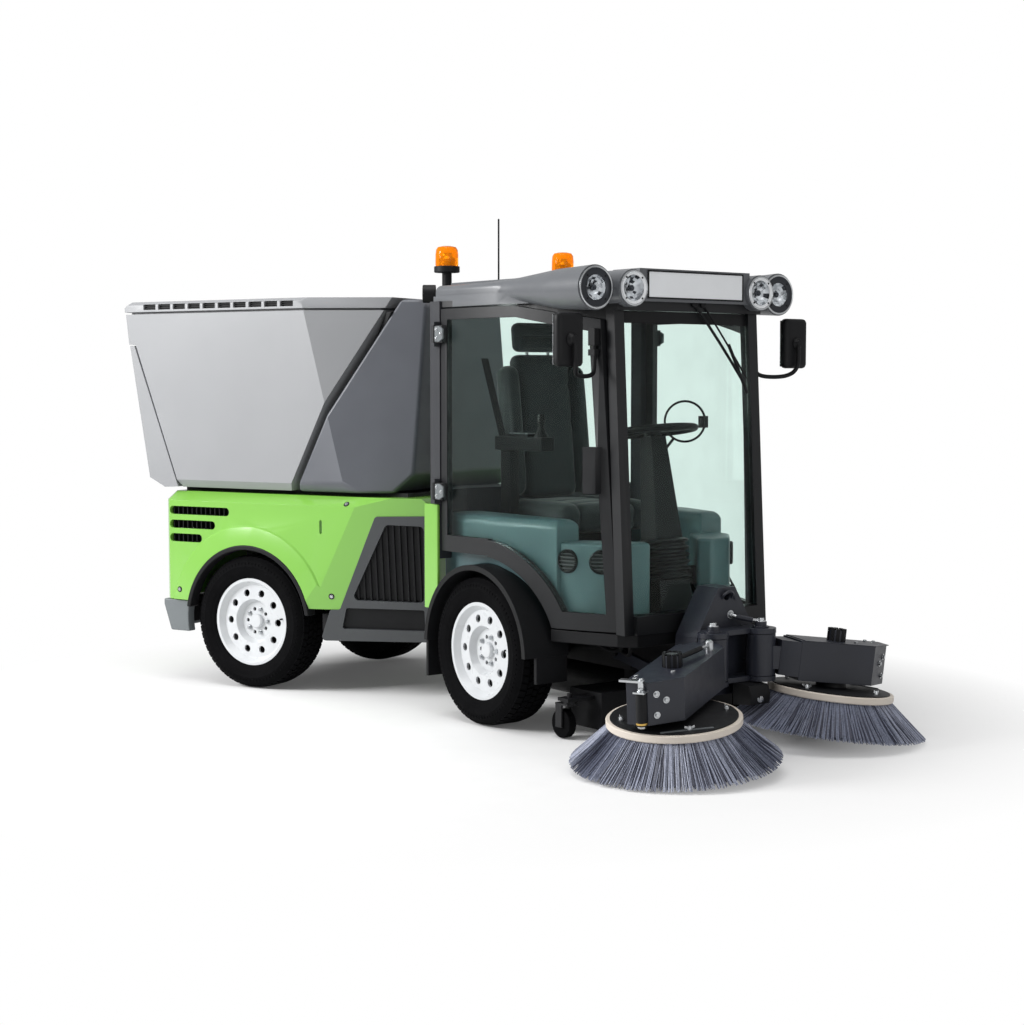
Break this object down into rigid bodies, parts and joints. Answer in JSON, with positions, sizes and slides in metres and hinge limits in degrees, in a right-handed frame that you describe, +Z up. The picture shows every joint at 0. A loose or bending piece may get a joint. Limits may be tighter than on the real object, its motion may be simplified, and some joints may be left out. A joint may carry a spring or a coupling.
{
  "type": "articulated compact sweeper",
  "caption": "Compact waist-steered sweeper: glazed front cab on wheels with two tilted brushes, and a rear power module carrying a tipping hopper.",
  "frame": {"origin": "ground, under the middle of the box round the machine as it stands bent in the picture", "axes": "+X forward along the rear module, +Y to its left, +Z up"},
  "size_m": [3.9645, 2.2985, 2.2],
  "materials": {
    "green_panel": "gloss lime green panel",
    "grey_panel": "satin mid grey moulding",
    "grey_dark_panel": "satin dark grey moulding",
    "roof_grey": "satin grey roof moulding",
    "black_steel": "black powder coat",
    "black_plastic": "matt black plastic",
    "frame_steel": "dark chassis paint",
    "engine_grey": "plain block",
    "tyre_rubber": "black rubber",
    "rim_white": "white gloss paint",
    "tinted_glass": "green tinted glass",
    "lamp_lens": "clear lens",
    "tail_lens": "red lens",
    "beacon_amber": "amber dome",
    "plate_white": "blank plate",
    "seat_trim": "dark woven trim",
    "brush_ring": "cream ring",
    "bristle": "dark bristles",
    "caster_rubber": "grey rubber"
  },
  "bodies": {
    "rear": {"rear_frame": "frame_steel", "rear_axle": "frame_steel", "engine_block": "engine_grey", "rear_body": "green_panel", "rear_arch_trims": "black_plastic", "side_mouldings": "grey_dark_panel", "side_grilles": "black_plastic", "rear_bumper": "grey_dark_panel", "tail_lamps": "tail_lens", "hopper_deck": "black_steel", "water_tank": "grey_dark_panel"},
    "hopper": {"hopper_shell": "grey_panel", "hopper_lid": "grey_panel"},
    "tailgate": {"hopper_tailgate": "grey_panel"},
    "front": {"front_frame": "frame_steel", "front_axle": "frame_steel", "cab_floor": "black_plastic", "wheel_boxes": "black_plastic", "cab_frame": "black_steel", "rear_glass": "tinted_glass", "windscreen": "tinted_glass", "roof": "roof_grey", "work_lamps": "lamp_lens", "front_plate": "plate_white", "roof_fittings": "black_plastic", "beacon_lenses": "beacon_amber", "seat_frame": "black_plastic", "seat_cushion": "seat_trim", "seat_back": "seat_trim", "steering_column": "black_plastic", "front_fenders": "black_plastic", "corner_panels": "green_panel", "suction_mouth": "black_plastic"},
    "door_right": {"door_frame_right": "black_plastic", "door_glass_right": "tinted_glass", "door_mirror_right": "black_plastic"},
    "door_left": {"door_frame_left": "black_plastic", "door_glass_left": "tinted_glass", "door_mirror_left": "black_plastic"},
    "steering": {"steering_wheel": "black_plastic"},
    "wheel_front_right": {"tyre_front_right": "tyre_rubber", "rim_front_right": "rim_white"},
    "wheel_front_left": {"tyre_front_left": "tyre_rubber", "rim_front_left": "rim_white"},
    "wheel_rear_right": {"tyre_rear_right": "tyre_rubber", "rim_rear_right": "rim_white"},
    "wheel_rear_left": {"tyre_rear_left": "tyre_rubber", "rim_rear_left": "rim_white"},
    "lift": {"lift_arms": "black_steel"},
    "tower": {"brush_tower": "black_steel"},
    "arm_right": {"brush_arm_right": "black_steel"},
    "brush_right": {"brush_disc_right": "brush_ring", "brush_bristles_right": "bristle"},
    "caster_right": {"caster_fork_right": "frame_steel"},
    "roller_right": {"caster_wheel_right": "caster_rubber"},
    "arm_left": {"brush_arm_left": "black_steel"},
    "brush_left": {"brush_disc_left": "brush_ring", "brush_bristles_left": "bristle"},
    "caster_left": {"caster_fork_left": "frame_steel"},
    "roller_left": {"caster_wheel_left": "caster_rubber"}
  },
  "joints": [
    {"name": "waist", "type": "hinge", "parent": "rear", "child": "front", "pos_m": [-0.3, 0.526, 0.33], "axis": [0, 0, 1], "range_deg": [-11.5, 58.5]},
    {"name": "roll_rear_right", "type": "hinge", "parent": "rear", "child": "wheel_rear_right", "pos_m": [-1.23, 0.023, 0.318], "axis": [0, 1, 0], "continuous": true},
    {"name": "roll_rear_left", "type": "hinge", "parent": "rear", "child": "wheel_rear_left", "pos_m": [-1.23, 1.029, 0.318], "axis": [0, 1, 0], "continuous": true},
    {"name": "roll_front_right", "type": "hinge", "parent": "front", "child": "wheel_front_right", "pos_m": [0.23308, -0.25428, 0.318], "axis": [0.3987, 0.9171, 0], "continuous": true},
    {"name": "roll_front_left", "type": "hinge", "parent": "front", "child": "wheel_front_left", "pos_m": [0.63422, 0.66828, 0.318], "axis": [0.3987, 0.9171, 0], "continuous": true},
    {"name": "door_swing_right", "type": "hinge", "parent": "front", "child": "door_right", "pos_m": [-0.07554, -0.24178, 1.2], "axis": [0, 0, -1], "range_deg": [0, 70]},
    {"name": "door_swing_left", "type": "hinge", "parent": "front", "child": "door_left", "pos_m": [0.41461, 0.88547, 1.2], "axis": [0, 0, 1], "range_deg": [0, 70]},
    {"name": "hopper_tip", "type": "hinge", "parent": "rear", "child": "hopper", "pos_m": [-1.755, 0.526, 0.925], "axis": [0, -1, 0], "range_deg": [0, 45]},
    {"name": "tailgate_swing", "type": "hinge", "parent": "hopper", "child": "tailgate", "pos_m": [-1.969, 0.526, 1.652], "axis": [0, 1, 0], "range_deg": [0, 70]},
    {"name": "steering_turn", "type": "hinge", "parent": "front", "child": "steering", "pos_m": [0.82982, 0.03474, 1.25], "axis": [-0.1258, 0.0547, 0.9905], "continuous": true},
    {"name": "brush_lift", "type": "hinge", "parent": "front", "child": "lift", "pos_m": [0.7913, 0.05149, 0.32], "axis": [-0.3987, -0.9171, 0], "range_deg": [0, 16]},
    {"name": "tower_level", "type": "hinge", "parent": "lift", "child": "tower", "pos_m": [1.16007, -0.10886, 0.24], "axis": [-0.3987, -0.9171, 0], "range_deg": [-16, 0]},
    {"name": "arm_swing_right", "type": "hinge", "parent": "tower", "child": "arm_right", "pos_m": [1.26797, -0.31934, 0.35], "axis": [0, 0, -1], "range_deg": [0, 12]},
    {"name": "brush_spin_right", "type": "hinge", "parent": "arm_right", "child": "brush_right", "pos_m": [1.30504, -0.76073, 0.205], "axis": [0.0095, -0.1128, 0.9936], "continuous": true},
    {"name": "caster_turn_right", "type": "hinge", "parent": "front", "child": "caster_right", "pos_m": [0.67542, -0.41063, 0.15], "axis": [0, 0, 1], "continuous": true},
    {"name": "caster_roll_right", "type": "hinge", "parent": "caster_right", "child": "roller_right", "pos_m": [0.64332, -0.39668, 0.063], "axis": [0.3987, 0.9171, 0], "continuous": true},
    {"name": "arm_swing_left", "type": "hinge", "parent": "tower", "child": "arm_left", "pos_m": [1.37164, -0.0809, 0.35], "axis": [0, 0, 1], "range_deg": [0, 12]},
    {"name": "brush_spin_left", "type": "hinge", "parent": "arm_left", "child": "brush_left", "pos_m": [1.58816, 0.14118, 0.205], "axis": [0.079, 0.0811, 0.9936], "continuous": true},
    {"name": "caster_turn_left", "type": "hinge", "parent": "front", "child": "caster_left", "pos_m": [1.05024, 0.4514, 0.15], "axis": [0, 0, 1], "continuous": true},
    {"name": "caster_roll_left", "type": "hinge", "parent": "caster_left", "child": "roller_left", "pos_m": [1.01815, 0.46536, 0.063], "axis": [0.3987, 0.9171, 0], "continuous": true}
  ],
  "couplings": [
    {"joint": "tower_level", "follows": "brush_lift", "ratio": -1}
  ]
}
